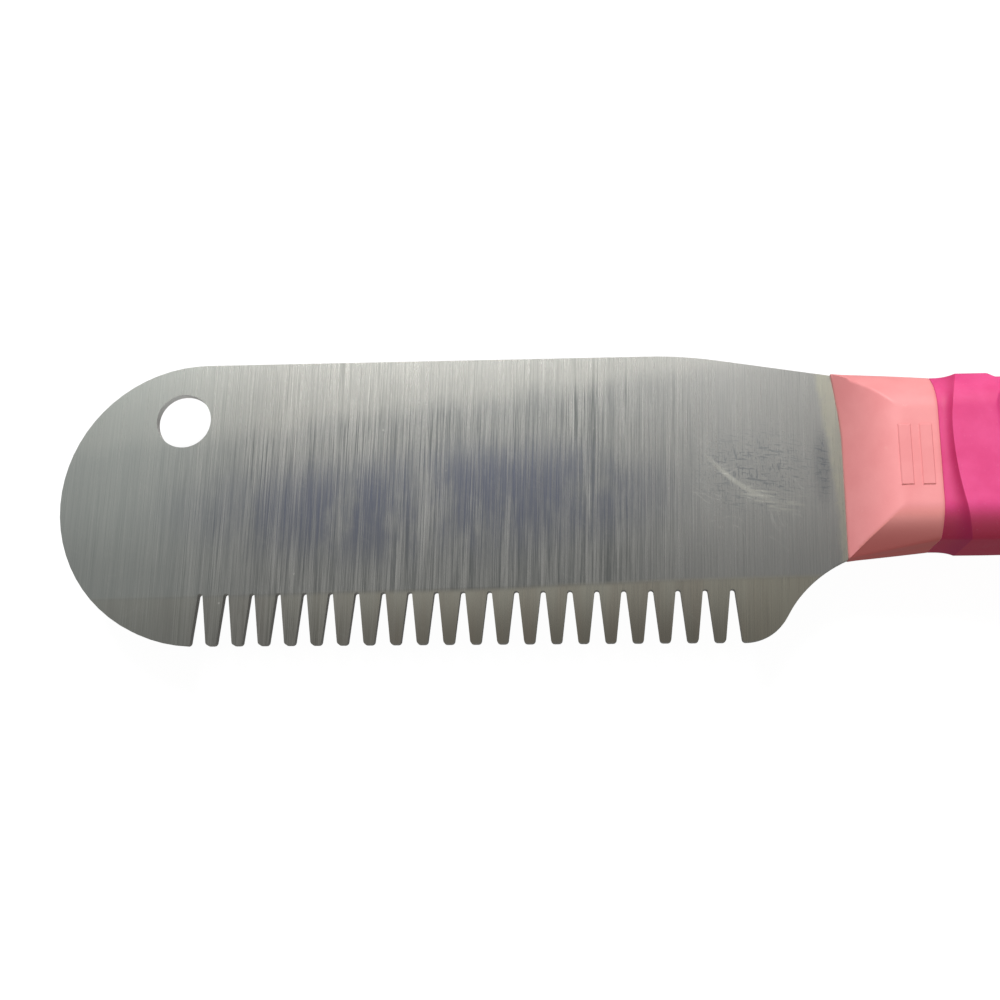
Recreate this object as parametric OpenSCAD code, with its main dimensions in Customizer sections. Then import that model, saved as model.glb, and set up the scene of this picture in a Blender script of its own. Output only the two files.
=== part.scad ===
// Dematting comb: a toothed steel plate whose tang is pinned and bonded between two
// hard plastic core shells, with a soft grip moulded over them.
//
// Frame: X runs from the plate's toe (-X) to the butt of the handle (+X), Y from the
// tooth tips (-Y) to the spine (+Y), and Z is up. The comb lies flat on the back of its
// grip. The origin is on that resting plane, under the middle of the whole outline.

/* [Blade] */
// Length of plate that shows, from the toe to the handle
blade_l = 79.4; // [70:0.1:110]
// Width of the plate, from tooth tips to spine; the toe is half a circle of it
blade_w = 29.4; // [26:0.1:36]
// Thickness of the plate
blade_t = 1; // [0.8:0.05:1.6]
// Radius of the hanging hole in the toe
hang_r = 2.85; // [1.5:0.05:4]
// Distance from the toe to the hanging hole's centre
hang_from_toe = 12.4; // [9:0.1:14]
// Distance from the spine to the hanging hole's centre
hang_from_spine = 6; // [5:0.1:10]
// Width, at the heel, of the shallow ground band that the teeth are cut in
grind_w = 6.2; // [3:0.1:8]
// How much thinner grinding leaves the plate at the tooth tips
grind_t = 0.15; // [0.05:0.05:0.5]
// Angle at which the band narrows towards the toe
grind_lean = 1.3; // [0:0.1:2]
// Drop of the spine between its straight stretch and the handle
spine_drop = 2.6; // [1:0.1:4]
// Angle at which the spine runs down to the handle
spine_angle = 9.5; // [6:0.5:16]
// Radius that blends the straight spine into that slope
spine_blend_r = 42; // [15:1:60]
// Radius of the rounded heel behind the last slot
heel_r = 4.7; // [3:0.1:6]
// Radius of the hollow curve between the heel and the handle
hollow_r = 12.7; // [10:0.1:16]
// How far the hollow curve's centre lies behind the handle's front
hollow_back = 5.1; // [3:0.1:7]

/* [Teeth] */
// Number of teeth between the toe and the heel
teeth = 20; // [8:1:24]
// Distance from the toe to the middle of the first slot
first_slot = 15.2; // [14.8:0.1:24]
// Distance from the middle of the last slot to the middle of the heel's curve
last_slot = 1.1; // [0.9:0.1:4]
// Depth of a slot, from the tooth tips to its root
slot_d = 5.2; // [3:0.1:7]
// Width of a slot at its mouth, between the teeth's corners before tip_r rounds them
slot_mouth_w = 1.6; // [1:0.05:1.7]
// Radius of a slot's root
slot_root_r = 0.25; // [0.15:0.05:0.4]
// Radius of the corners of a tooth's tip
tip_r = 0.35; // [0.1:0.05:0.4]

/* [Tang] */
// Length of the tang inside the handle
tang_l = 86; // [50:1:92]
// Width of the tang
tang_w = 9; // [6:0.1:9.4]
// Thickness of the adhesive round the tang
glue_t = 0.2; // [0.1:0.05:0.3]
// Length at the handle's front where the shells close on the tang without adhesive
glue_start = 3; // [1:0.5:6]
// Radius of a tang pin
pin_r = 1.5; // [1:0.1:1.8]
// Length of a tang pin
pin_l = 6.4; // [4:0.1:6.8]
// Gap round a pin in its hole through the tang
pin_gap = 0.15; // [0.05:0.05:0.3]
// Number of tang pins
pins = 3; // [2:1:4]
// Distance from the handle's front to the first pin, and from the tang's end to the last
pin_inset = 15; // [9:0.5:18]

/* [Handle] */
// Length of the handle, from the plate to the butt
handle_l = 110; // [105:1:140]
// How far the handle's centreline lies from the plate's, towards the spine
handle_rise = 2.8; // [0:0.1:4]
// Thickness of the bolster and the butt
core_t = 11.2; // [10:0.1:12]
// Thickness of the grip at its collar and its palm, which the comb lies on
grip_t = 12.4; // [11.4:0.1:14]
// Width of the flat along each face
flat_w = 9.2; // [6:0.1:10]
// How far the flats lie from the handle's centreline, towards the teeth
flat_shift = 0.4; // [0:0.1:1]
// Height of the bolster's narrow side at the plate, between its two curved faces
side_t = 1.6; // [1:0.1:5]
// Height of the grip's narrow side where the palm is widest
palm_side_t = 2.4; // [1:0.1:5]
// Radius of the soft edges that run along the handle
edge_r = 1.4; // [0.5:0.1:2]

/* [Bolster] */
// Length of the bolster in front of the grip
bolster_l = 8.4; // [6:0.1:12]
// Width of the bolster at the plate
bolster_w = 19; // [18:0.1:22]
// Width where the bolster runs into the grip
neck_w = 16.4; // [16:0.1:18]
// How far the bolster's front stands over the plate before it rises
nose_h = 0.2; // [0.1:0.1:2]
// Length of the rolled front face
nose_l = 5; // [2:0.1:6]
// Number of raised bars on the front flat
bars = 2; // [1:1:2]
// Length of a bar, across the handle
bar_l = 6; // [3:0.1:7]
// Width of a bar
bar_w = 1.2; // [0.6:0.1:1.6]
// Height of a bar
bar_h = 0.1; // [0.05:0.05:0.3]
// Distance from one bar to the next
bar_pitch = 2; // [1.8:0.1:2.4]
// Distance from the grip to the middle of the bar nearest it
bar_inset = 1.3; // [1:0.1:2]

/* [Grip] */
// Length of the lip that lies flush with the bolster
lip_l = 0.9; // [0.4:0.1:2]
// Length of the ramp from the lip up to the collar
ramp_l = 1.4; // [0.8:0.1:3]
// Length of the collar's ramp across each face, which starts at the bolster
face_ramp_l = 1.1; // [0.6:0.1:2]
// Length of the collar's full-height band
collar_l = 3; // [2:0.1:6]
// Width of the grip at its collar
collar_w = 16.8; // [16:0.1:19]
// Length of the step down behind the collar, on the spine side and the faces
step_l = 0.8; // [0.6:0.1:3]
// Half width of the grip behind that step, on the spine side
back_w = 7.8; // [7.4:0.1:9]
// How much that side swells at the palm
back_swell = 0.2; // [0:0.1:1]
// Depth of the finger hollow behind the collar, on the tooth side
finger_d = 0.5; // [0:0.1:0.8]
// Distance from the handle's front to the finger hollow
finger_at = 27; // [24:1:32]
// Distance from the handle's front to where the palm swell is full
palm_at = 52; // [45:1:55]
// Length over which the palm swell stays full
palm_l = 16; // [8:1:20]
// Half width of the palm swell on the tooth side
palm_w = 10; // [9:0.1:11]
// How much the grip sinks on each face between the collar and the palm
face_dip = 0.4; // [0:0.1:0.6]
// Half width of the waist in front of the butt
waist_w = 7.8; // [7.6:0.1:8.2]
// Distance from the waist to the butt
waist_l = 8; // [5:0.5:10]
// Thickness of the grip over the core, at the faces
grip_wall = 1.8; // [1.4:0.1:2]
// Number of grooves in the core that key the grip to it
keys = 4; // [2:1:5]
// Width of a key groove
key_l = 4; // [2:0.5:6]
// Depth of a key groove
key_d = 0.5; // [0.3:0.1:0.6]

/* [Butt] */
// Length of the butt that shows behind the grip
butt_l = 10; // [8:0.5:16]
// Width of the butt
butt_w = 16.8; // [16:0.1:18]
// Radius of the butt's corners, seen from above
butt_r = 7; // [3:0.5:8]
// Length over which the butt's faces roll down to its end
butt_roll_l = 5; // [3:0.1:8]
// Thickness of the butt's end
butt_end_t = 4.6; // [3:0.1:8]

/* [Hidden] */
$fn = 64;

// Lengths and places that follow from the sizes above
toe_x = -(blade_l + handle_l) / 2;
front_x = toe_x + blade_l;
tip_y = -blade_w / 2;
spine_y = blade_w / 2;
mid_z = grip_t / 2;
grip_end = handle_l - butt_l;
collar_at = bolster_l + lip_l + ramp_l;
step_at = collar_at + collar_l;
half_core = core_t / 2;
half_grip = grip_t / 2;
nose_t = blade_t + 2 * nose_h;
// Steps in each curve from a flat to a narrow side
crown_steps = 9;
// An inner curve moves inwards by this share of its inset, so that the wall stays even
crown_lean = 0.6;
pin_pitch = (tang_l - 2 * pin_inset) / (pins - 1);
key_pitch = (grip_end - bolster_l) / (keys + 0.5);

// Centres of the heel's curve and of the hollow that runs on from it to the bolster
hollow_c = [
    front_x + hollow_back,
    handle_rise - bolster_w / 2 - sqrt(pow(hollow_r, 2) - pow(hollow_back, 2))
];
heel_c_y = tip_y + heel_r;
heel_c_x = hollow_c[0] - sqrt(pow(heel_r + hollow_r, 2) - pow(heel_c_y - hollow_c[1], 2));
tooth_pitch = (heel_c_x - last_slot - toe_x - first_slot) / teeth;

// A cutting shape starts this far outside what it cuts
over = 1;

// ---------------------------------------------------------------- curves

// Points on the arc about c from angle a to angle b
function arc(c, r, a, b, n = 12) = [
    for (i = [0 : n]) let (t = a + (b - a) * i / n) c + r * [cos(t), sin(t)]
];

// Sweep between two directions, taken the short way round
function sweep(a, b) = b - a > 180 ? b - a - 360 : b - a < -180 ? b - a + 360 : b - a;

// The corner p between a and b, rounded with radius r, or less where its sides are too short
function rounded_corner(a, p, b, r, n) =
    let (
        u = (a - p) / norm(a - p),
        v = (b - p) / norm(b - p),
        half = acos(u * v) / 2,
        reach = min(r / tan(half), 0.45 * norm(a - p), 0.45 * norm(b - p)),
        real_r = reach * tan(half),
        c = p + (u + v) / norm(u + v) * real_r / sin(half),
        from = p + u * reach - c,
        to = p + v * reach - c,
        start = atan2(from[1], from[0])
    )
    arc(c, real_r, start, start + sweep(start, atan2(to[1], to[0])), n);

// Points that glide through stations, each flat at its own height, n steps between two
function glide(stations, n = 8) = [
    for (i = [0 : len(stations) - 2], k = [0 : n - 1])
        let (t = k / n, a = stations[i], b = stations[i + 1])
        [a[0] + (b[0] - a[0]) * t, a[1] + (b[1] - a[1]) * t * t * (3 - 2 * t)],
    stations[len(stations) - 1]
];

// The points in the opposite order, with their second coordinate turned round
function mirrored(points) = [
    for (i = [len(points) - 1 : -1 : 0]) [points[i][0], -points[i][1]]
];

// ---------------------------------------------------------------- blade

// Lean of a slot's wall, which runs from the mouth to touch the root's circle
slot_centre_d = slot_d - slot_root_r;
slot_lean = acos(slot_root_r / norm([slot_mouth_w / 2, slot_centre_d]))
    - atan2(slot_centre_d, slot_mouth_w / 2);

// One slot with its mouth on the X axis; the corners of the teeth beside it are rounded
module slot() {
    tip_c = [slot_mouth_w / 2 + tip_r * tan(45 - slot_lean / 2), tip_r];
    right = concat([[tip_c[0], -over]], arc(tip_c, tip_r, 270, 180 + slot_lean, 4));
    root = arc([0, slot_centre_d], slot_root_r, slot_lean, 180 - slot_lean, 8);
    left = [for (i = [len(right) - 1 : -1 : 0]) [-right[i][0], right[i][1]]];
    polygon(concat(right, root, left));
}

// The plate behind the middle of the toe: spine, slope, hollow and heel
module plate_body() {
    toe_c_x = toe_x + blade_w / 2;
    corner_x = front_x - spine_drop / tan(spine_angle);
    blend_c = [corner_x - spine_blend_r * tan(spine_angle / 2), spine_y - spine_blend_r];
    meet = atan2(hollow_c[1] - heel_c_y, hollow_c[0] - heel_c_x);
    polygon(concat(
        [[toe_c_x, spine_y]],
        arc(blend_c, spine_blend_r, 90, 90 - spine_angle, 8),
        [[front_x, spine_y - spine_drop]],
        arc(hollow_c, hollow_r, 90 + asin(hollow_back / hollow_r), 180 + meet, 14),
        arc([heel_c_x, heel_c_y], heel_r, meet, -90, 14),
        [[toe_c_x, tip_y]]
    ));
}

// All the slots, cut through the plate
module slots() {
    for (i = [0 : teeth])
        translate([toe_x + first_slot + i * tooth_pitch, tip_y, mid_z - blade_t])
            linear_extrude(2 * blade_t) slot();
}

// The tang, grown on all sides but its front, from a distance behind the handle's front
module tang_outline(from, grow = 0) {
    half_w = tang_w / 2 + grow;
    end = tang_l + grow;
    translate([front_x, handle_rise])
        polygon(concat(
            [[from, -half_w]],
            arc([end - half_w, 0], half_w, -90, 90, 16),
            [[from, half_w]]
        ));
}

// Draws what follows at every pin's middle
module at_pins() {
    for (i = [0 : pins - 1])
        translate([front_x + pin_inset + i * pin_pitch, handle_rise, mid_z]) children();
}

// The wedge that grinding takes off the front face along the teeth
module grind_wedge() {
    reach = 2 * grind_w;
    translate([heel_c_x, tip_y + grind_w, mid_z + blade_t / 2])
        rotate([0, 0, grind_lean])
            rotate([90, 0, 90])
                translate([0, 0, -blade_l])
                    linear_extrude(2 * blade_l)
                        polygon([
                            [0, 0],
                            [0, over],
                            [-reach, over],
                            [-reach, -grind_t * reach / grind_w]
                        ]);
}

module blade() {
    hang = [toe_x + hang_from_toe, spine_y - hang_from_spine, mid_z];
    color("silver")
    difference() {
        union() {
            translate([toe_x + blade_w / 2, 0, mid_z])
                cylinder(r = blade_w / 2, h = blade_t, center = true);
            translate([0, 0, mid_z - blade_t / 2]) linear_extrude(blade_t) plate_body();
            translate([0, 0, mid_z - blade_t / 2]) linear_extrude(blade_t) tang_outline(-over);
        }
        slots();
        grind_wedge();
        translate(hang) cylinder(r = hang_r, h = 2 * blade_t, center = true);
        at_pins() cylinder(r = pin_r + pin_gap, h = 2 * blade_t, center = true);
    }
}

module tang_pins() {
    color("gainsboro")
    at_pins() cylinder(r = pin_r, h = pin_l, center = true);
}

// The room in the shells for the tang and its adhesive
module tang_room() {
    translate([0, 0, mid_z - blade_t / 2]) linear_extrude(blade_t) tang_outline(-over);
    translate([0, 0, mid_z - blade_t / 2 - glue_t])
        linear_extrude(blade_t + 2 * glue_t) tang_outline(glue_start, glue_t);
}

module tang_adhesive() {
    color("khaki")
    difference() {
        translate([0, 0, mid_z - blade_t / 2 - glue_t])
            linear_extrude(blade_t + 2 * glue_t) tang_outline(glue_start, glue_t);
        blade();
        tang_pins();
    }
}

// ---------------------------------------------------------------- handle forms

// Points from the end of a flat out to side_w, down a curve that gets steeper evenly and
// would come down to edge_h at the distance reach from the centreline
function crown(half_t, edge_h, reach, side_w, shift, inset) =
    let (
        flat = flat_w / 2 + shift,
        from = flat - crown_lean * inset
    )
    [
        for (k = [0 : crown_steps])
            let (
                y = from + (side_w - from) * k / crown_steps,
                t = min(1, (y - from) / (reach - flat))
            )
            [y, half_t - inset - (half_t - edge_h) * t * t]
    ];

// The upper line of a section, with the edge at each of its two ends rounded
function soft_ended(line, r) =
    let (n = len(line) - 1)
    concat(
        rounded_corner([line[0][0], 0], line[0], line[1], r, 4),
        [for (i = [1 : n - 1]) line[i]],
        rounded_corner(line[n - 1], line[n], [line[n][0], 0], r, 4)
    );

// A section of the handle; inset moves every side of it inwards. Where its narrow sides are
// out beyond the outline seen from above, the outline trims them.
module section(half_t, edge_h, reach, half_w, inset = 0) {
    spine = crown(half_t, edge_h, reach, half_w - inset, -flat_shift, inset);
    tooth = crown(half_t, edge_h, reach, half_w - inset, flat_shift, inset);
    upper = soft_ended(
        concat([for (i = [crown_steps : -1 : 0]) [-tooth[i][0], tooth[i][1]]], spine),
        edge_r - inset / 2
    );
    polygon(concat(upper, mirrored(upper)));
}

// The core's section, whose curves come down to its narrow side at the bolster's full width
module core_section(half_w) {
    section(half_core, side_t / 2, bolster_w / 2, half_w);
}

// The grip's section, whose curves come down to its narrow side at the palm
module grip_section(half_w, inset = 0) {
    section(half_grip, palm_side_t / 2, palm_w, half_w, inset);
}

// A straight piece of section, between two distances from the handle's front
module along(from, to) {
    translate([front_x + from, handle_rise, mid_z])
        rotate([90, 0, 90]) linear_extrude(to - from) children();
}

// What the outline seen from above, children(0), leaves of a height of half_t
module seen_from_above(half_t) {
    translate([front_x, handle_rise, mid_z - half_t])
        linear_extrude(2 * half_t) children();
}

// What the outline seen from the tooth side leaves of a width of half_w
module seen_from_side(half_w) {
    translate([front_x, handle_rise + half_w, mid_z])
        rotate([90, 0, 0]) linear_extrude(2 * half_w) children();
}

// ---------------------------------------------------------------- core

module bolster_form() {
    // The front face rises steeply at first, and runs out into the flat
    roll = [
        for (t = [0 : 0.1 : 1])
            [nose_l * t, half_core - (half_core - nose_t / 2) * pow(1 - t, 2)]
    ];
    side = concat(roll, [[bolster_l, half_core]]);
    intersection() {
        seen_from_above(half_core)
            polygon([
                [0, -bolster_w / 2], [bolster_l, -neck_w / 2],
                [bolster_l, neck_w / 2], [0, bolster_w / 2]
            ]);
        seen_from_side(bolster_w / 2 + over) polygon(concat(side, mirrored(side)));
        along(0, bolster_l) core_section(bolster_w / 2);
    }
}

module butt_form() {
    start = handle_l - butt_roll_l;
    roll = [
        for (a = [0 : 10 : 90])
            [start + butt_roll_l * sin(a), butt_end_t / 2 + (half_core - butt_end_t / 2) * cos(a)]
    ];
    side = concat([[grip_end, half_core]], roll);
    corner = [handle_l - butt_r, butt_w / 2 - butt_r];
    top = concat([[grip_end, butt_w / 2]], arc(corner, butt_r, 90, 0, 14));
    intersection() {
        seen_from_above(half_core) polygon(concat(top, mirrored(top)));
        seen_from_side(butt_w / 2 + over) polygon(concat(side, mirrored(side)));
        along(grip_end, handle_l) core_section(butt_w / 2 + over / 2);
    }
}

// The core where the grip covers it, with the grooves that hold the grip
module seat_form() {
    along(bolster_l, grip_end) grip_section(waist_w, grip_wall + key_d);
    for (i = [0 : keys]) {
        from = bolster_l + max(0, (i - 0.25) * key_pitch + key_l / 2);
        to = bolster_l + (i + 0.75) * key_pitch - key_l / 2;
        along(from, i == keys ? grip_end : to) grip_section(waist_w, grip_wall);
    }
}

// The half of the core on one side of the plate
module core_half(side) {
    difference() {
        intersection() {
            union() {
                bolster_form();
                seat_form();
                butt_form();
            }
            translate([front_x - over, handle_rise - bolster_w, mid_z + (side - 1) / 2 * core_t])
                cube([handle_l + 2 * over, 2 * bolster_w, core_t]);
        }
        tang_room();
        tang_pins();
    }
}

module bolster_bars() {
    for (i = [0 : bars - 1])
        translate([
            front_x + bolster_l - bar_inset - i * bar_pitch - bar_w / 2,
            handle_rise - flat_shift - bar_l / 2,
            mid_z + half_core - over
        ])
            cube([bar_w, bar_l, over + bar_h]);
}

module front_shell() {
    color("lightcoral") {
        core_half(1);
        bolster_bars();
    }
}

module back_shell() {
    color("lightcoral") core_half(-1);
}

// ---------------------------------------------------------------- grip

module grip_form() {
    spine_side = glide([
        [bolster_l, neck_w / 2],
        [bolster_l + lip_l, neck_w / 2],
        [collar_at, collar_w / 2],
        [step_at, collar_w / 2],
        [step_at + step_l, back_w],
        [palm_at, back_w + back_swell],
        [palm_at + palm_l, back_w + back_swell],
        [grip_end - waist_l, waist_w],
        [grip_end, butt_w / 2]
    ]);
    tooth_side = glide([
        [bolster_l, neck_w / 2],
        [bolster_l + lip_l, neck_w / 2],
        [collar_at, collar_w / 2],
        [step_at, collar_w / 2],
        [finger_at, collar_w / 2 - finger_d],
        [palm_at, palm_w],
        [palm_at + palm_l, palm_w],
        [grip_end - waist_l, waist_w],
        [grip_end, butt_w / 2]
    ]);
    face = glide([
        [bolster_l, half_core],
        [bolster_l + face_ramp_l, half_grip],
        [step_at, half_grip],
        [step_at + step_l, half_grip - face_dip],
        [finger_at, half_grip - face_dip],
        [palm_at, half_grip],
        [palm_at + palm_l, half_grip],
        [grip_end - waist_l, half_core],
        [grip_end, half_core]
    ]);
    intersection() {
        seen_from_above(half_grip) polygon(concat(spine_side, mirrored(tooth_side)));
        seen_from_side(palm_w + over) polygon(concat(face, mirrored(face)));
        along(bolster_l, grip_end) grip_section(palm_w + over / 2);
    }
}

module grip() {
    color("hotpink")
    difference() {
        grip_form();
        seat_form();
    }
}

blade();
tang_pins();
tang_adhesive();
front_shell();
back_shell();
grip();
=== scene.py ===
"""The dematting comb, lying on a white light table, seen from above and from the tooth side."""
import math

import bpy
from mathutils import Euler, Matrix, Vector


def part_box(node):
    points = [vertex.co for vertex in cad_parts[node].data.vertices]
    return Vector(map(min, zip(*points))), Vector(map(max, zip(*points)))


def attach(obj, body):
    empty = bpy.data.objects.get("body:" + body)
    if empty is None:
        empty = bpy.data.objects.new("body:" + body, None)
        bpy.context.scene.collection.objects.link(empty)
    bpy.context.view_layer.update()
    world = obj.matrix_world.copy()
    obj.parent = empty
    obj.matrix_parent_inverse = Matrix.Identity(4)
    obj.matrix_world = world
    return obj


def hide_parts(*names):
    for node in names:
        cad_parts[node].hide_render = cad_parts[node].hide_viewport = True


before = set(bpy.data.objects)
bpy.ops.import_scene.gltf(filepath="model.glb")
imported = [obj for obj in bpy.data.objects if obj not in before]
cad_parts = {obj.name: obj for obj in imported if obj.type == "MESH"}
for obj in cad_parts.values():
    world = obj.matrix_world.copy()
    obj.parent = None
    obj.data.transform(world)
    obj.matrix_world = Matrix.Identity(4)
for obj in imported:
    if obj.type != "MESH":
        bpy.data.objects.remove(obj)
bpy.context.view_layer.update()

MM = 0.001

# ---------------------------------------------------------------- places, from the frame

blade_lo, blade_hi = (Vector(c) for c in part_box("blade"))
shell_lo, shell_hi = (Vector(c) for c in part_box("front_shell"))
back_lo = Vector(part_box("back_shell")[0])
grip_lo, grip_hi = (Vector(c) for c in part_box("grip"))

FRONT_X = shell_lo.x  # where the plate runs into the handle
MID_Z = (blade_lo.z + blade_hi.z) / 2
AXIS_Y = (shell_lo.y + shell_hi.y) / 2  # the handle's centreline
PLATE_Z = blade_hi.z

# ---------------------------------------------------------------- the handle's sizes, in mm

BOLSTER_W = (shell_hi.y - shell_lo.y) / MM
HANDLE_L = (shell_hi.x - FRONT_X) / MM
BOLSTER_L = (grip_lo.x - FRONT_X) / MM
GRIP_END = (grip_hi.x - FRONT_X) / MM
HALF_CORE = (MID_Z - back_lo.z) / MM
HALF_GRIP = (grip_hi.z - MID_Z) / MM
BAR_H = (shell_hi.z - MID_Z) / MM - HALF_CORE
PALM_W = (AXIS_Y - grip_lo.y) / MM
NECK_W = 16.4
FLAT = 4.6  # half the width of a face's flat
SHIFT = 0.4  # how far the flats lie towards the teeth
EDGE_R = 1.4  # the rounding between a crown and its narrow side
CROWN_LEAN = 0.6  # how far a flat's end moves in for each mm of inset
SIDE_T = 1.6  # the bolster's narrow side at the plate
PALM_SIDE_T = 2.4  # the grip's narrow side where the palm is widest
NOSE_T = (blade_hi.z - blade_lo.z) / MM + 0.4
NOSE_L = 5.0  # how far the bolster's front rolls up to its full thickness
LEAD = 0.8  # how far its front edge runs out over the plate at the spine corner
LEAD_FROM = 2.0  # and how far from the axis that starts
SEAM = 0.05  # the fine rounding where the two shells meet
EDGE_BREAK = 0.06  # the fine inset of an edge where coral and pink meet
BAR_W, BAR_L, BAR_PITCH = 1.2, 6.0, 2.0
BAR_INSET = 1.3  # from the bolster's back to the middle of the first bar
BUTT_W = 16.8
BUTT_R = 7.0  # the butt's two corners
BUTT_ROLL_L = 5.0  # how far the butt's faces roll down to its end
BUTT_END_T = 4.6
WALL = 1.8  # the grip's wall
COLLAR_W = 16.8
COLLAR_FROM = 2.3  # from the bolster's back to the collar, on the spine side
COLLAR_L = 3.0
STEP_L = 0.8  # the step down behind the collar
FACE_DIP = 0.4  # how far the faces lie lower behind the collar
BACK_W = 7.8  # from the axis to the spine side behind the collar
BACK_SWELL = 0.2  # how far that side swells opposite the palm
FINGER_D = 0.5  # the dip for the finger on the tooth side
WAIST_W = 7.8  # from the axis to either side at the waist
WAIST_L = 8.0  # from the waist to the grip's end

# The collar's front edge is nearest to the bolster at RAMP_TURN from the axis, and swings
# back from there to both sides, by so many mm for each mm squared
RAMP_L = 1.1
RAMP_TURN = 2.0
SWING_TOOTH = 1.2 / 81
SWING_SPINE = 1.3 / 40.96

GRIND_LEAN = 1.3  # the ground band's edge against the row of tips, in degrees

# A section's crown: its height at the flat, its height at the narrow side, and where that is
CORE_CROWN = (HALF_CORE, SIDE_T / 2, BOLSTER_W / 2)
GRIP_CROWN = (HALF_GRIP, PALM_SIDE_T / 2, PALM_W)


def mix(a, b, t):
    """The value at t on the way from a to b."""
    return a + (b - a) * t


def ease(t):
    """A smooth rise from 0 to 1."""
    t = min(1.0, max(0.0, t))
    return t * t * (3 - 2 * t)


def glide(stations, d):
    """The height at d of a line that is flat at each station and glides between two."""
    if d <= stations[0][0]:
        return stations[0][1]
    for (a, va), (b, vb) in zip(stations, stations[1:]):
        if d <= b:
            return mix(va, vb, ease((d - a) / (b - a)))
    return stations[-1][1]


def crown_line(w, shift, top, crown, inset):
    """From the end of a flat out to the narrow side and down it to the mid-plane."""
    crown_top, edge, reach = crown
    flat = FLAT + shift
    near = flat - CROWN_LEAN * inset
    w, top, crown_top, drop = w - inset, top - inset, crown_top - inset, crown_top - edge

    def height(y):
        t = min(1.0, max(0.0, (y - near) / (reach - flat)))
        return min(top, crown_top - drop * t * t)

    start = near + (reach - flat) * math.sqrt(max(0.0, crown_top - top) / drop)
    start = min(start, w - 0.02)
    corner = Vector((w, height(w)))
    fall = math.atan2(height(w - 0.3) - corner.y, 0.3)
    cut = EDGE_R * math.tan((math.pi / 2 - fall) / 2)
    cut = min(cut, 0.45 * corner.y, 0.45 * (w - start))
    end = w - cut * math.cos(fall)
    points = []
    for k in range(15):
        y = mix(start, end, k / 14)
        points.append((y, height(y)))
    a, b = Vector(points[-1]), Vector((w, corner.y - cut))
    for k in range(1, 5):
        t = k / 4
        points.append(tuple(a.lerp(corner, t).lerp(corner.lerp(b, t), t)))
    for k in range(1, 4):
        points.append((w, b.y * (1 - k / 3)))
    return points


def half_section(spine_w, tooth_w, top, crown, inset=0.0):
    """Half of the handle's section, over its mid-plane, from the spine side to the tooth side."""
    spine = crown_line(spine_w, -SHIFT, top, crown, inset)
    tooth = [(-y, z) for y, z in crown_line(tooth_w, SHIFT, top, crown, inset)]
    # the flat's points bunch towards its ends, so that the soft edges there stay narrow
    flat = [(mix(spine[0][0], tooth[0][0], (1 - math.cos(math.pi * k / 10)) / 2), spine[0][1])
            for k in range(1, 10)]
    return spine[::-1] + flat + tooth


def between(a, b, t):
    """The same for each value of two tuples."""
    return tuple(mix(x, y, t) for x, y in zip(a, b))


def mesh_object(name, verts, faces, material, node):
    """A smooth piece that rides on the body and stands in for a CAD node."""
    data = bpy.data.meshes.new(name)
    data.from_pydata([tuple(v) for v in verts], [], faces)
    data.validate()
    data.update()
    data.polygons.foreach_set("use_smooth", [True] * len(data.polygons))
    data.materials.append(material)
    obj = bpy.data.objects.new(name, data)
    bpy.context.scene.collection.objects.link(obj)
    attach(obj, "root")
    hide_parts(node)
    return obj


def place(d, y, z):
    """A point of the handle: d behind the joint, y off the axis, z over the mid-plane."""
    return Vector((FRONT_X + d * MM, AXIS_Y + y * MM, MID_Z + z * MM))


def skin(rings, closed_ring, caps):
    """Faces between rings of equal length; caps closes the two ends."""
    n = len(rings[0])
    verts = [v for ring in rings for v in ring]
    faces = []
    for r in range(len(rings) - 1):
        for k in range(n if closed_ring else n - 1):
            a, b = r * n + k, r * n + (k + 1) % n
            faces.append((a, b, b + n, a + n))
    if caps:
        faces.append(tuple(reversed(range(n))))
        faces.append(tuple(range((len(rings) - 1) * n, len(rings) * n)))
    return verts, faces


# ---------------------------------------------------------------- materials


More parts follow.
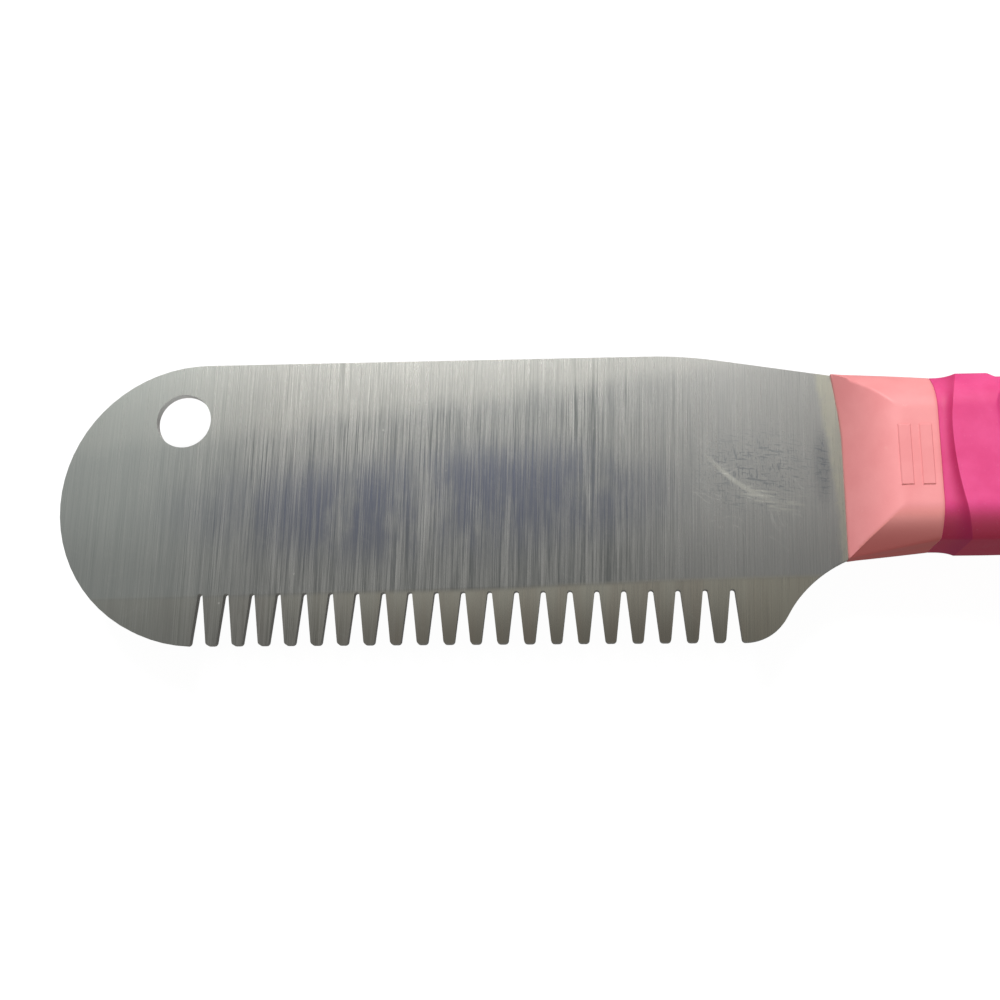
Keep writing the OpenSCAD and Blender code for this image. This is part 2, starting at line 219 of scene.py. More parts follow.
class Nodes:
    """A short way to write shader nodes."""

    def __init__(self, name):
        self.material = bpy.data.materials.new(name)
        self.material.use_nodes = True
        self.tree = self.material.node_tree
        self.tree.nodes.clear()
        self.out = self.add("ShaderNodeOutputMaterial")

    def add(self, kind, inputs=None, **settings):
        n = self.tree.nodes.new(kind)
        for k, v in settings.items():
            setattr(n, k, v)
        for k, v in (inputs or {}).items():
            self.put(n.inputs[k], v)
        return n

    def put(self, socket, value):
        if isinstance(value, bpy.types.NodeSocket):
            self.tree.links.new(value, socket)
        elif isinstance(value, bpy.types.Node):
            self.tree.links.new(value.outputs[0], socket)
        else:
            socket.default_value = value

    def mm(self, scale=(1, 1, 1), turn=0.0, shift=(0, 0, 0)):
        """Object coordinates in mm, turned about Z and stretched."""
        c = self.add("ShaderNodeTexCoord").outputs["Object"]
        m = self.add("ShaderNodeMapping", {
            "Vector": c, "Scale": (1000, 1000, 1000), "Rotation": (0, 0, math.radians(turn)),
        })
        return self.add("ShaderNodeMapping", {"Vector": m, "Scale": scale, "Location": shift})

    def noise(self, coords, scale=1.0, detail=4.0, rough=0.55, distort=0.0):
        return self.add("ShaderNodeTexNoise", {
            "Vector": coords, "Scale": scale, "Detail": detail, "Roughness": rough,
            "Distortion": distort,
        }).outputs["Fac"]

    def ramp(self, fac, low, high, to_low=0.0, to_high=1.0):
        return self.add("ShaderNodeMapRange", {
            "Value": fac, "From Min": low, "From Max": high, "To Min": to_low, "To Max": to_high,
        }, interpolation_type="SMOOTHSTEP").outputs["Result"]

    def math(self, op, a, b=0.0, c=0.0):
        n = self.add("ShaderNodeMath", operation=op)
        for socket, v in zip(n.inputs, (a, b, c)):
            self.put(socket, v)
        return n.outputs[0]

    def colour(self, fac, a, b, blend="MIX"):
        n = self.add("ShaderNodeMix", data_type="RGBA", blend_type=blend)
        self.put(n.inputs[0], fac)
        for socket, v in ((n.inputs[6], a), (n.inputs[7], b)):
            self.put(socket, v if isinstance(v, bpy.types.NodeSocket) else (*v, 1.0))
        return n.outputs[2]

    def bump(self, height, distance, strength=1.0, normal=None):
        n = self.add("ShaderNodeBump", {
            "Height": height, "Distance": distance, "Strength": strength,
        })
        if normal:
            self.put(n.inputs["Normal"], normal)
        return n.outputs["Normal"]

    def finish(self, shader):
        self.put(self.out.inputs["Surface"], shader)
        return self.material


def blade_steel():
    n = Nodes("brushed_blade_steel")
    xyz = n.add("ShaderNodeSeparateXYZ", {"Vector": n.mm()})
    x, y = xyz.outputs[0], xyz.outputs[1]

    def spot(cx, cy, rx, ry):
        """1 at a place on the plate, fading to 0 at its rim; mm from the joint and the tips."""
        dx = n.math("DIVIDE", n.math("SUBTRACT", x, FRONT_X / MM + cx), rx)
        dy = n.math("DIVIDE", n.math("SUBTRACT", y, blade_lo.y / MM + cy), ry)
        r = n.math("SQRT", n.math("ADD", n.math("POWER", dx, 2.0), n.math("POWER", dy, 2.0)))
        return n.ramp(r, 1.0, 0.25)

    facing = n.add("ShaderNodeSeparateXYZ", {
        "Vector": n.add("ShaderNodeNewGeometry").outputs["True Normal"],
    }).outputs[2]
    front = n.ramp(facing, -0.5, 0.0)  # 1 on the front face and the cut edges
    wander = n.noise(n.mm((0.05, 0.03, 0.05)), detail=1)
    # Brush lines run from the spine to the teeth and are deepest in the plate's middle
    fine = n.noise(n.mm((9.5, 0.09, 1), turn=1.4), detail=5, rough=0.78)
    coarse = n.noise(n.mm((2.2, 0.05, 1), turn=1.0), detail=4, rough=0.6)
    broad = n.noise(n.mm((0.45, 0.05, 1), turn=0.8), detail=2)
    patch = n.noise(n.mm((0.22, 0.10, 0.1), shift=(3.1, 1.7, 0)), detail=4, rough=0.6)
    lines = n.math("ADD", n.math("MULTIPLY", fine, 0.76), n.math("MULTIPLY", coarse, 0.24))
    middle = n.math("ABSOLUTE", n.math("SUBTRACT", x, FRONT_X / MM - 36.0))
    depth = n.ramp(middle, 42.0, 12.0, 0.35, 1.0)
    lines = n.math("ADD", 0.5, n.math("MULTIPLY", n.math("SUBTRACT", lines, 0.5), depth))
    steel = n.colour(n.ramp(lines, 0.40, 0.60), (0.15, 0.16, 0.16), (0.62, 0.625, 0.605))
    streak = n.noise(n.mm((9.0, 0.07, 1), turn=1.6, shift=(7, 0, 2)), detail=3, rough=0.6)
    streak = n.math("MULTIPLY", n.ramp(streak, 0.62, 0.70), depth)
    steel = n.colour(n.math("MULTIPLY", streak, 0.5), steel, (0.86, 0.86, 0.83))
    steel = n.colour(n.ramp(broad, 0.35, 0.65, 0.0, 0.3), steel, (0.30, 0.31, 0.31))
    # A painted warm reflection over the spine side, and a paler plate near the handle and the toe
    reflection_edge = n.math("ADD", y, n.math("MULTIPLY", x, -0.12))
    painted_warm_reflection = n.ramp(n.math("ADD", reflection_edge, n.math("MULTIPLY", patch, 3.0)), 16.5, 19.5)
    steel = n.colour(n.math("MULTIPLY", painted_warm_reflection, 0.26), steel, (0.66, 0.655, 0.60))
    nearer = n.ramp(x, FRONT_X / MM - 26.0, FRONT_X / MM - 8.0)
    steel = n.colour(n.math("MULTIPLY", nearer, 0.36), steel, (0.68, 0.68, 0.66))
    toe = n.ramp(x, blade_lo.x / MM + 24.0, blade_lo.x / MM + 4.0)
    steel = n.colour(n.math("MULTIPLY", toe, 0.45), steel, (0.50, 0.555, 0.53))
    # A painted dark bluish reflection, broken up along the brush lines
    painted_dark_reflection = n.math("MAXIMUM", spot(-44.0, 13.5, 30.0, 7.5), spot(-33.0, 15.0, 21.0, 7.5))
    painted_dark_reflection = n.math("MULTIPLY", painted_dark_reflection, n.ramp(patch, 0.30, 0.54, 0.25, 1.0))
    painted_dark_reflection = n.math("MULTIPLY", painted_dark_reflection, n.ramp(lines, 0.64, 0.40, 0.45, 1.0))
    painted_dark_reflection = n.math("MULTIPLY", painted_dark_reflection, n.math("MAXIMUM", front, 0.35))
    steel = n.colour(n.math("MULTIPLY", painted_dark_reflection, 0.85), steel, (0.15, 0.165, 0.225))
    # Painted shade: darker towards the teeth
    tip_d = n.math("SUBTRACT", y, blade_lo.y / MM)
    steel = n.colour(n.ramp(tip_d, 15.0, 7.0, 0.0, 0.22), steel, (0.20, 0.205, 0.20))
    # The ground band along the teeth, on the front only, is smoother, browner towards the
    # tips, and fades towards the toe
    edge_wave = n.math("SUBTRACT", wander, 0.5)
    lean = n.math("MULTIPLY", n.math("SUBTRACT", FRONT_X / MM - 10.0, x),
                  math.tan(math.radians(GRIND_LEAN)))
    band_d = n.math("ADD", n.math("ADD", tip_d, edge_wave), lean)
    band = n.math("MULTIPLY", n.ramp(band_d, 6.5, 5.8),
                  n.ramp(x, blade_lo.x / MM + 14.0, blade_lo.x / MM + 45.0, 0.3, 1.0))
    band = n.math("MULTIPLY", band, front)
    ground = n.colour(n.ramp(tip_d, 0.0, 6.0), (0.29, 0.275, 0.225), (0.55, 0.54, 0.46))
    ground = n.colour(n.ramp(broad, 0.35, 0.65, 0.0, 0.3), ground, (0.34, 0.27, 0.21))
    ground = n.colour(n.ramp(x, FRONT_X / MM - 16.0, FRONT_X / MM - 6.0, 0.0, 0.55), ground,
                      (0.56, 0.54, 0.44))
    colour = n.colour(n.math("MULTIPLY", band, 0.85), steel, ground)
    # Beside the handle: dark flecks across and along the grain and a dark bluish patch of painted
    # shade, then a paler strip that follows the joint
    fleck = n.math("ADD", n.math("MULTIPLY", n.noise(
        n.mm((0.9, 1.5, 1), turn=20), detail=6, rough=0.75, distort=0.4), 0.6), n.math(
        "MULTIPLY", n.noise(n.mm((2.2, 0.4, 1), turn=3), detail=4, rough=0.7), 0.4))
    tick_h = n.noise(n.mm((0.8, 5.0, 1), turn=8), detail=3, rough=0.7)
    tick_v = n.noise(n.mm((5.5, 0.9, 1), shift=(3, 5, 0)), detail=3, rough=0.7)
    ticks = n.math("MAXIMUM", n.ramp(tick_h, 0.54, 0.62), n.ramp(tick_v, 0.55, 0.63))
    ticks = n.math("MAXIMUM", ticks, n.ramp(fleck, 0.45, 0.65, 0.0, 0.5))
    # a dark bluish patch of painted shade beside the joint
    painted_shade_patch = spot(-2.0, 17.5, 1.3, 5.5)
    rubbed = n.math("MAXIMUM", painted_shade_patch, n.math("MULTIPLY", spot(-8.5, 17.0, 9.0, 6.5), 0.9))
    dark = n.math("MULTIPLY", n.math("MULTIPLY", ticks, rubbed), front)
    colour = n.colour(n.math("MULTIPLY", painted_shade_patch, 0.32), colour, (0.15, 0.165, 0.19))
    colour = n.colour(n.math("MULTIPLY", dark, 0.8), colour, (0.12, 0.135, 0.15))
    off_axis = n.math("SUBTRACT", y, AXIS_Y / MM)
    from_joint = n.math("SUBTRACT", x, FRONT_X / MM)
    lead = n.math("DIVIDE", n.math("SUBTRACT", off_axis, LEAD_FROM), BOLSTER_W / 2 - LEAD_FROM)
    lead = n.math("MULTIPLY", n.math("POWER", n.math("MAXIMUM", lead, 0.0), 1.6), LEAD)
    joint = n.math("ADD", from_joint, lead)
    wide = n.ramp(off_axis, -7.0, 6.0, 0.6, 1.5)
    cloud = n.noise(n.mm((0.7, 0.5, 1)), detail=4, rough=0.65, distort=0.8)
    # a paler yellowish strip along the joint, wider towards the spine side
    haze_d = n.math("ADD", n.math("ADD", joint, wide), n.math("SUBTRACT", cloud, 0.5))
    haze = n.math("MULTIPLY", n.ramp(haze_d, -0.4, 0.4), n.ramp(cloud, 0.3, 0.6, 0.7, 1.0))
    colour = n.colour(n.math("MULTIPLY", haze, 0.75), colour, (0.62, 0.615, 0.51))
    # A scuffed patch in front of the handle: a pale rubbed arc that fans out, and scratches
    scuff = spot(-10.0, 15.0, 9.0, 8.5)
    arc_y = n.math("ADD", 13.6, n.math("MULTIPLY", n.math("POWER", n.math(
        "ADD", from_joint, 4.4), 2.0), 0.0636))
    off_arc = n.math("ABSOLUTE", n.math("SUBTRACT", tip_d, arc_y))
    feather = n.noise(n.mm((0.4, 4.0, 1), turn=6), detail=4, rough=0.7, distort=0.2)
    swoosh = n.math("MULTIPLY", n.ramp(off_arc, 0.5, 0.1), spot(-9.6, 16.4, 6.0, 5.0))
    fan = n.math("MULTIPLY", n.ramp(off_arc, 1.6, 0.2), spot(-7.2, 14.6, 4.6, 3.2))
    fan = n.math("MULTIPLY", fan, n.ramp(feather, 0.42, 0.60))
    swoosh = n.math("MULTIPLY", n.math("MAXIMUM", n.math("MULTIPLY", swoosh, 0.75), fan), front)
    colour = n.colour(n.math("MULTIPLY", swoosh, 0.65), colour, (0.72, 0.72, 0.65))
    bend = n.add("ShaderNodeVectorMath", {
        0: n.mm((0.16, 0.16, 1), turn=32),
        1: n.add("ShaderNodeVectorMath", {
            0: n.add("ShaderNodeTexNoise", {"Vector": n.mm((0.14, 0.14, 1)), "Scale": 1.0,
                                             "Detail": 1.0}).outputs["Color"],
            "Scale": 1.3,
        }, operation="SCALE"),
    }, operation="ADD")
    hair = n.add("ShaderNodeMapping", {"Vector": bend, "Scale": (1.0, 9.0, 1.0)})
    scratch = n.add("ShaderNodeTexVoronoi", {"Vector": hair, "Scale": 1.0},
                    feature="DISTANCE_TO_EDGE").outputs["Distance"]
    broken = n.ramp(n.noise(n.mm((0.5, 0.5, 1), shift=(9, 2, 0)), detail=3), 0.5, 0.62)
    scratch = n.math("MULTIPLY", n.ramp(scratch, 0.05, 0.0), broken)
    scratch = n.math("MULTIPLY", scratch, n.math("ADD", n.math("MULTIPLY", scuff, 0.7), 0.08))
    nick = n.add("ShaderNodeTexVoronoi", {"Vector": n.mm((0.20, 0.20, 1)), "Scale": 1.0},
                 feature="F1").outputs["Distance"]
    nick = n.math("MULTIPLY", n.ramp(nick, 0.03, 0.012), n.ramp(patch, 0.45, 0.5))
    marks = n.math("MAXIMUM", scratch, nick)
    colour = n.colour(n.math("MULTIPLY", marks, 0.8), colour, (0.66, 0.66, 0.63))
    # Cut edges are duller and rougher than the brushed faces, and the grey mixed into their colour
    # is painted shade
    cut = n.ramp(n.math("ABSOLUTE", facing), 0.75, 0.3)
    colour = n.colour(n.math("MULTIPLY", cut, 0.85), colour, (0.42, 0.41, 0.38))
    # The punched wall of the hang hole is paler
    punched = n.math("MULTIPLY", cut, spot(-67.0, 23.4, 9.0, 9.0))
    colour = n.colour(punched, colour, (0.86, 0.86, 0.84))
    rough = n.math("ADD", n.ramp(lines, 0.38, 0.62, 0.34, 0.25), n.math("MULTIPLY", dark, 0.1))
    rough = n.math("ADD", rough, n.math("MULTIPLY", cut, 0.2))
    grain = n.math("MULTIPLY", lines, n.math("SUBTRACT", 1.0, n.math("MULTIPLY", band, 0.65)))
    grain = n.math("SUBTRACT", grain, n.math("MULTIPLY", marks, 0.15))
    return n.finish(n.add("ShaderNodeBsdfPrincipled", {
        "Base Color": colour, "Roughness": rough,
        "Metallic": n.math("SUBTRACT", n.ramp(cut, 0.0, 1.0, 1.0, 0.35),
                           n.math("MULTIPLY", punched, 0.35)),
        "Normal": n.bump(grain, 0.00002, 0.6),
        "Anisotropic": 0.45, "Tangent": n.add("ShaderNodeCombineXYZ", {"X": 1.0, "Y": 0.0}),
    }))


def plain_steel():
    n = Nodes("drawn_pin_steel")
    lines = n.noise(n.mm((6, 6, 0.3)), detail=4)
    colour = n.colour(lines, (0.45, 0.45, 0.44), (0.66, 0.66, 0.65))
    return n.finish(n.add("ShaderNodeBsdfPrincipled", {
        "Base Color": colour, "Metallic": 1.0, "Roughness": n.ramp(lines, 0.3, 0.7, 0.25, 0.4),
        "Normal": n.bump(lines, 0.00002, 0.4),
    }))


def cured_adhesive():
    n = Nodes("cured_adhesive")
    cloud = n.noise(n.mm((0.6, 0.6, 0.6)), detail=4)
    colour = n.colour(cloud, (0.42, 0.33, 0.16), (0.62, 0.54, 0.32))
    return n.finish(n.add("ShaderNodeBsdfPrincipled", {
        "Base Color": colour, "Roughness": 0.35, "Transmission Weight": 0.2,
        "Normal": n.bump(cloud, 0.00008, 0.5),
    }))


def coral_plastic():
    n = Nodes("coral_hard_plastic")
    mottle = n.noise(n.mm((0.25, 0.25, 0.25)), detail=4)
    fine = n.noise(n.mm((7, 7, 7)), detail=3)
    orange_peel = n.noise(n.mm((1.6, 1.6, 1.6)), detail=2)
    xyz = n.add("ShaderNodeSeparateXYZ", {"Vector": n.mm()})
    colour = n.colour(n.ramp(mottle, 0.3, 0.7), (0.80, 0.285, 0.295), (0.84, 0.32, 0.33))
    # Painted shade: the colour turns deeper and redder where the surface faces the tooth side,
    # away from the light
    painted_shade_facing = n.add("ShaderNodeSeparateXYZ", {
        "Vector": n.add("ShaderNodeNewGeometry").outputs["Normal"],
    }).outputs[1]
    colour = n.colour(n.ramp(painted_shade_facing, -0.10, -0.55, 0.0, 0.8), colour, (0.95, 0.34, 0.31))
    colour = n.colour(n.ramp(painted_shade_facing, -0.55, -1.0, 0.0, 0.9), colour, (0.62, 0.13, 0.12))
    # Painted shade along the joint with the plate, low on the bolster's foot
    joint = n.ramp(xyz.outputs[0], FRONT_X / MM + 0.4, FRONT_X / MM + 0.02)
    low = n.ramp(xyz.outputs[2], PLATE_Z / MM + 0.55, PLATE_Z / MM + 0.05)
    painted_joint_shade = n.math("MULTIPLY", n.math("MULTIPLY", joint, low), n.ramp(mottle, 0.3, 0.6, 0.3, 0.6))
    colour = n.colour(painted_joint_shade, colour, (0.36, 0.16, 0.15))
    speck = n.ramp(n.noise(n.mm((1.3, 1.3, 1.3), shift=(4, 4, 4)), detail=3), 0.70, 0.76)
    colour = n.colour(n.math("MULTIPLY", speck, 0.10), colour, (0.97, 0.62, 0.58))
    height = n.math("ADD", n.math("MULTIPLY", fine, 0.35), n.math("MULTIPLY", orange_peel, 0.65))
    return n.finish(n.add("ShaderNodeBsdfPrincipled", {
        "Base Color": colour, "Roughness": n.ramp(mottle, 0.3, 0.7, 0.42, 0.52),
        "Normal": n.bump(height, 0.00003, 0.5), "Specular IOR Level": 0.3,
    }))


def pink_rubber():
    n = Nodes("hot_pink_soft_rubber")
    mottle = n.noise(n.mm((0.3, 0.3, 0.3)), detail=4)
    skin_grain = n.noise(n.mm((9, 9, 9)), detail=3, rough=0.6)
    waves = n.noise(n.mm((0.9, 0.9, 0.9)), detail=2)
    colour = n.colour(n.ramp(mottle, 0.3, 0.7), (0.70, 0.050, 0.215), (0.76, 0.075, 0.26))
    # Painted shade: the colour turns deeper and darker where the surface faces the tooth side
    painted_shade_facing = n.add("ShaderNodeSeparateXYZ", {
        "Vector": n.add("ShaderNodeNewGeometry").outputs["Normal"],
    }).outputs[1]
    colour = n.colour(n.ramp(painted_shade_facing, -0.12, -0.85, 0.0, 0.85), colour, (0.46, 0.017, 0.048))
    # Painted shade: darker and deeper on the ramp, most of all in the corner below the collar
    xyz = n.add("ShaderNodeSeparateXYZ", {"Vector": n.mm()})
    along = n.math("SUBTRACT", xyz.outputs[0], FRONT_X / MM + BOLSTER_L)
    across = n.math("SUBTRACT", xyz.outputs[1], AXIS_Y / MM)
    low = n.math("MAXIMUM", n.math("SUBTRACT", RAMP_TURN, across), 0.0)
    high = n.math("MAXIMUM", n.math("SUBTRACT", across, RAMP_TURN), 0.0)
    reach = n.math("ADD", RAMP_L, n.math("ADD",
        n.math("MULTIPLY", n.math("MULTIPLY", low, low), SWING_TOOTH),
        n.math("MULTIPLY", n.math("MULTIPLY", high, high), SWING_SPINE)))
    share = n.math("DIVIDE", along, reach)
    painted_ramp_shade = n.math("MULTIPLY", n.ramp(share, 0.15, 0.95, 0.25, 1.0), n.ramp(share, 1.03, 0.99))
    painted_ramp_shade = n.math("MULTIPLY", painted_ramp_shade, n.ramp(across, -3.0, 6.0, 0.85, 0.5))
    colour = n.colour(painted_ramp_shade, colour, (0.42, 0.008, 0.085))
    dust = n.ramp(n.noise(n.mm((2.4, 2.4, 2.4), shift=(5, 1, 3)), detail=4), 0.62, 0.74)
    colour = n.colour(n.math("MULTIPLY", dust, 0.05), colour, (0.95, 0.45, 0.60))
    height = n.math("ADD", n.math("MULTIPLY", skin_grain, 0.5), n.math("MULTIPLY", waves, 0.5))
    return n.finish(n.add("ShaderNodeBsdfPrincipled", {
        "Base Color": colour, "Roughness": n.ramp(mottle, 0.3, 0.7, 0.55, 0.66),
        "Subsurface Weight": 0.10, "Subsurface Radius": (1.0, 0.3, 0.5),
        "Subsurface Scale": 0.0015, "Normal": n.bump(height, 0.00004, 0.5),
        "Specular IOR Level": 0.4, "Sheen Weight": 0.08,
    }))


def light_table():
    n = Nodes("light_table_acrylic")
    haze = n.noise(n.mm((0.02, 0.02, 0.02)), detail=2)
    colour = n.colour(haze, (0.12, 0.12, 0.12), (0.13, 0.13, 0.13))
    return n.finish(n.add("ShaderNodeBsdfPrincipled", {
        "Base Color": colour, "Roughness": 0.7, "Emission Color": (1, 1, 1, 1),
        "Emission Strength": 0.95, "Specular IOR Level": 0.2,
    }))


STEEL, PINS, GLUE = blade_steel(), plain_steel(), cured_adhesive()
CORAL, PINK = coral_plastic(), pink_rubber()

# ---------------------------------------------------------------- metal pieces

for node_name, material in (("blade", STEEL), ("tang_pins", PINS), ("tang_adhesive", GLUE)):
    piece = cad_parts[node_name]
    piece.data.materials.clear()
    piece.data.materials.append(material)

soft_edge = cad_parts["blade"].modifiers.new("edge_break", "BEVEL")
soft_edge.width = 0.07 * MM
soft_edge.segments = 2
soft_edge.limit_method = "ANGLE"
soft_edge.angle_limit = math.radians(45)

# ---------------------------------------------------------------- core shells


def core_stations():
    """(distance, half width, top, inset, crown) along the core, from the plate to the butt"""
    rows = []
    for k in range(25):
        t = (k / 24) ** 1.6
        w = mix(BOLSTER_W, NECK_W, NOSE_L * t / BOLSTER_L) / 2
        rows.append((NOSE_L * t, w, nose_top(t), 0.0, CORE_CROWN))
    for k in range(1, 13):
        d = mix(NOSE_L, BOLSTER_L - EDGE_BREAK, k / 12)
        w = mix(BOLSTER_W, NECK_W, d / BOLSTER_L) / 2
        rows.append((d, w, HALF_CORE, 0.0, CORE_CROWN))
    rows.append((BOLSTER_L, NECK_W / 2, HALF_CORE, EDGE_BREAK, CORE_CROWN))
    # the seat under the grip
    for d in (BOLSTER_L + 0.02, GRIP_END - 0.02):
        rows.append((d, WAIST_W, HALF_GRIP, WALL, GRIP_CROWN))
    # the butt, and its rolled end
    start = HANDLE_L - BUTT_ROLL_L
    rows.append((GRIP_END, BUTT_W / 2, HALF_CORE, EDGE_BREAK, CORE_CROWN))
    for k in range(6):
        d = mix(GRIP_END + EDGE_BREAK, start, k / 6)
        rows.append((d, butt_w(d), HALF_CORE, 0.0, CORE_CROWN))
    for a in range(0, 91, 5):
        s, c = math.sin(math.radians(a)), math.cos(math.radians(a))
        d = start + BUTT_ROLL_L * s
        top = mix(BUTT_END_T / 2, HALF_CORE, c)
        rows.append((d, butt_w(d), top, 0.0, CORE_CROWN))
    return rows


def butt_w(d):
    """Half the butt's width, with its two corners rounded."""
    over = max(0.0, d - (HANDLE_L - BUTT_R))
    return BUTT_W / 2 - BUTT_R + math.sqrt(max(0.0, BUTT_R ** 2 - over ** 2))


def front_lead(y):
    """How far the bolster's front edge runs out over the plate towards the spine corner."""
    return LEAD * (max(0.0, y - LEAD_FROM) / (BOLSTER_W / 2 - LEAD_FROM)) ** 1.6


def nose_top(t):
    """Half the bolster's thickness at t of its rolled front face."""
    return HALF_CORE - (HALF_CORE - NOSE_T / 2) * (1 - t) ** 2


def shell(side):
    """One half of the coral core: the front one for 1, the back one for -1."""
    rings = []
    rows = core_stations()
    for i, (d, w, top, inset, crown) in enumerate([rows[0], *rows]):
        line = half_section(w, w, top, crown, inset)
        if i < 2:
            # the front edge is broken, and the face below it ends inside the plate
            line = [(y * (0.93, 0.985)[i], z * (0.3, 0.95)[i]) for y, z in line]
        lead = [front_lead(y) * ease(1 - d / BOLSTER_L) for y, z in line]
        ring = [place(d - e, y, side * max(z, 0.0)) for (y, z), e in zip(line, lead)]
        ring[0] = place(d - lead[0], line[0][0] - SEAM, 0)
        ring[-1] = place(d, line[-1][0] + SEAM, 0)
        rings.append(ring)
    verts, faces = skin(rings, True, True)
    if side < 0:
        faces = [tuple(reversed(f)) for f in faces]
    return verts, faces


def add_box(verts, faces, lo, hi, edge):
    """A low raised block with a chamfered rim, standing on the face below it."""
    base = len(verts)
    for z, e in ((lo.z, 0), (hi.z - edge, 0), (hi.z, edge)):
        verts += [
            Vector((lo.x + e, lo.y + e, z)), Vector((hi.x - e, lo.y + e, z)),
            Vector((hi.x - e, hi.y - e, z)), Vector((lo.x + e, hi.y - e, z)),
        ]
    faces.append((base + 3, base + 2, base + 1, base))
    for ring in (0, 4):
        for k in range(4):
            a, b = base + ring + k, base + ring + (k + 1) % 4
            faces.append((a, b, b + 4, a + 4))
    faces.append((base + 8, base + 9, base + 10, base + 11))


verts, faces = shell(1)
n_smooth = len(faces)
for i in range(2):
    d = BOLSTER_L - BAR_INSET - BAR_PITCH * i
    add_box(verts, faces, place(d - BAR_W / 2, -SHIFT - BAR_L / 2, HALF_CORE - 0.3),
            place(d + BAR_W / 2, -SHIFT + BAR_L / 2, HALF_CORE + BAR_H), 0.08 * MM)
front = mesh_object("coral_front_shell", verts, faces, CORAL, "front_shell")
for face in front.data.polygons[n_smooth:]:
    face.use_smooth = False
verts, faces = shell(-1)
back = mesh_object("coral_back_shell", verts, faces, CORAL, "back_shell")

# ---------------------------------------------------------------- grip

# Places along the handle, from the joint
STEP = BOLSTER_L + COLLAR_FROM + COLLAR_L
FINGER = 27.0
PALM = 52.0
PALM_END = 68.0
WAIST = GRIP_END - WAIST_L

# The grip's two sides and its face at those places; the plain face has no step
SPINE_SIDE = [
    (STEP, COLLAR_W / 2), (STEP + STEP_L, BACK_W), (PALM, BACK_W + BACK_SWELL),
    (PALM_END, BACK_W + BACK_SWELL), (WAIST, WAIST_W), (GRIP_END, BUTT_W / 2),
]
TOOTH_SIDE = [
    (STEP, COLLAR_W / 2), (FINGER, COLLAR_W / 2 - FINGER_D), (PALM, PALM_W), (PALM_END, PALM_W),
    (WAIST, WAIST_W), (GRIP_END, BUTT_W / 2),
]
FACE = [
    (STEP, HALF_GRIP), (STEP + STEP_L, HALF_GRIP - FACE_DIP), (FINGER, HALF_GRIP - FACE_DIP),
    (PALM, HALF_GRIP), (PALM_END, HALF_GRIP), (WAIST, HALF_CORE), (GRIP_END, HALF_CORE),
]
FACE_PLAIN = [FACE[0], *FACE[2:]]


def collar_start(y):
    """How far behind the bolster the collar starts; its front swings forward on the faces."""
    swing = SWING_TOOTH if y < RAMP_TURN else SWING_SPINE
    return RAMP_L + swing * (y - RAMP_TURN) ** 2


def full_ring(half_line):
    """Both halves of a section from the upper one."""
    lower = [(y, -z) for y, z in reversed(half_line)]
    return half_line + lower[1:-1]


def grip_piece():
    """The pink grip, hollow where it sits on the core."""
    rings = []
    # from the bolster over the ramp: a flush lip, then a rise that ends crisply
    steps = 26
    for k in range(-1, steps + 1):
        u = max(0, k) / steps
        rise = u ** 3
        w = mix(NECK_W, COLLAR_W, rise) / 2
        crown = between(CORE_CROWN, GRIP_CROWN, rise)
        line = full_ring(half_section(w, w, crown[0], crown, EDGE_BREAK if k < 0 else 0.0))
        rings.append([
            place(BOLSTER_L + (0.04 if k == 0 else 0) + collar_start(y) * u, y, z) for y, z in line
        ])
    # the collar's band
    for k in range(1, 13):
        v = (k / 12) ** 2
        line = full_ring(half_section(COLLAR_W / 2, COLLAR_W / 2, HALF_GRIP, GRIP_CROWN))
        rings.append([
            place(mix(BOLSTER_L + collar_start(y), STEP, v), y, z) for y, z in line
        ])
    # the step behind it fades out towards the tooth side, and the rest of the grip
    ds = [STEP + STEP_L * k / 10 for k in range(1, 11)]
    ds += [mix(STEP + STEP_L, GRIP_END - EDGE_BREAK, k / 90) for k in range(1, 91)]
    ds += [GRIP_END]
    for d in ds:
        inset = EDGE_BREAK if d == GRIP_END else 0.0
        sides = glide(SPINE_SIDE, d), glide(TOOTH_SIDE, d)
        crown = between(GRIP_CROWN, CORE_CROWN, ease((d - WAIST) / (GRIP_END - WAIST)))
        stepped = full_ring(half_section(*sides, glide(FACE, d), crown, inset))
        plain = full_ring(half_section(*sides, glide(FACE_PLAIN, d), crown, inset))
        ring = []
        for (y, z), (y2, z2) in zip(stepped, plain):
            t = ease((y + 2) / 8)
            ring.append(place(d, mix(y2, y, t), mix(z2, z, t)))
        rings.append(ring)
    for d in (GRIP_END, BOLSTER_L):
        rings.append([place(d, y, z) for y, z in full_ring(
            half_section(WAIST_W, WAIST_W, HALF_GRIP, GRIP_CROWN, WALL))])
    n = len(rings[0])
    verts, faces = skin(rings, True, False)
    last = (len(rings) - 1) * n
    for k in range(n):
        faces.append((last + k, last + (k + 1) % n, (k + 1) % n, k))
    return verts, faces


verts, faces = grip_piece()
grip = mesh_object("pink_grip", verts, faces, PINK, "grip")

# The bolster's edges are soft; the grip's steps are crisp
for piece, angle in ((front, 75), (back, 75), (grip, 50)):
    keep = piece.modifiers.new("crisp_steps", "EDGE_SPLIT")
    keep.split_angle = math.radians(angle)

# ---------------------------------------------------------------- floor, light, camera

bpy.ops.mesh.primitive_plane_add(size=6.0, location=(0, 0, grip_lo.z - 0.02 * MM))
floor = bpy.context.object
floor.name = "light_table"
floor.data.materials.append(light_table())
# The table is seen white but lights nothing, as a background that was cut away would
floor.visible_diffuse = False
floor.visible_glossy = False

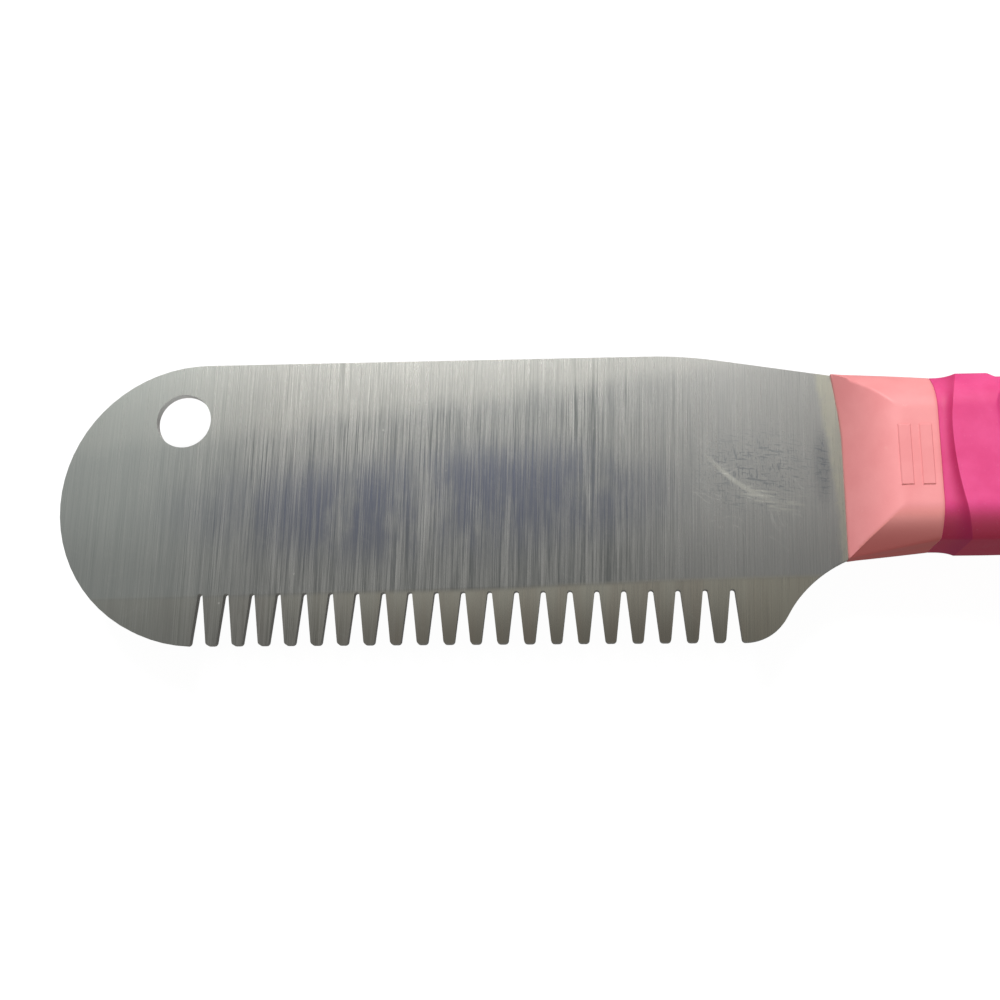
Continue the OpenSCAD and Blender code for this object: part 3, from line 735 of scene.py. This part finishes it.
world = bpy.data.worlds.new("studio")
bpy.context.scene.world = world
world.use_nodes = True
wt = world.node_tree
wt.nodes.clear()
w_out = wt.nodes.new("ShaderNodeOutputWorld")
w_bg = wt.nodes.new("ShaderNodeBackground")
w_dir = wt.nodes.new("ShaderNodeTexCoord")
w_dot = wt.nodes.new("ShaderNodeVectorMath")
w_dot.operation = "DOT_PRODUCT"
w_dot.inputs[1].default_value = Vector((-0.30, 0.42, 0.86)).normalized()
w_map = wt.nodes.new("ShaderNodeMapRange")
w_map.interpolation_type = "SMOOTHSTEP"
for socket, value in (("From Min", 0.80), ("From Max", 1.0), ("To Min", 0.16), ("To Max", 0.42)):
    w_map.inputs[socket].default_value = value
wt.links.new(w_dir.outputs["Generated"], w_dot.inputs[0])
wt.links.new(w_dot.outputs["Value"], w_map.inputs["Value"])
wt.links.new(w_map.outputs["Result"], w_bg.inputs["Strength"])
w_bg.inputs["Color"].default_value = (1.0, 0.99, 0.97, 1.0)
wt.links.new(w_bg.outputs["Background"], w_out.inputs["Surface"])


def softbox(name, offset, aim, size, power, colour=(1, 1, 1)):
    data = bpy.data.lights.new(name, "AREA")
    data.shape = "RECTANGLE"
    data.size, data.size_y = size
    data.energy = power
    data.color = colour
    obj = bpy.data.objects.new(name, data)
    bpy.context.scene.collection.objects.link(obj)
    obj.location = aim + Vector(offset)
    obj.rotation_euler = (aim - obj.location).to_track_quat("-Z", "Y").to_euler()
    return obj


aim = Vector((FRONT_X, 0, PLATE_Z))
softbox("key_softbox", (-0.10, 0.47, 0.51), aim, (0.34, 0.30), 5.7, (1.0, 0.985, 0.96))
softbox("tooth_side_fill", (0.02, -0.42, 0.30), aim, (0.30, 0.30), 0.7)

cam_data = bpy.data.cameras.new("camera")
cam_data.sensor_width = 36.0
cam_data.lens = 50.4
camera = bpy.data.objects.new("camera", cam_data)
bpy.context.scene.collection.objects.link(camera)
# Looking down from the tooth side, tilted a little towards the handle
camera.rotation_euler = Euler([math.radians(v) for v in (14.466, 4.251, 0.258)])
look = camera.rotation_euler.to_matrix() @ Vector((0, 0, -1))
seen = Vector((FRONT_X - 34.08 * MM, -0.23 * MM, PLATE_Z))
camera.location = seen - look * 140.55 * MM
bpy.context.scene.camera = camera

bpy.context.scene.view_settings.view_transform = "Standard"
bpy.context.scene.view_settings.look = "None"
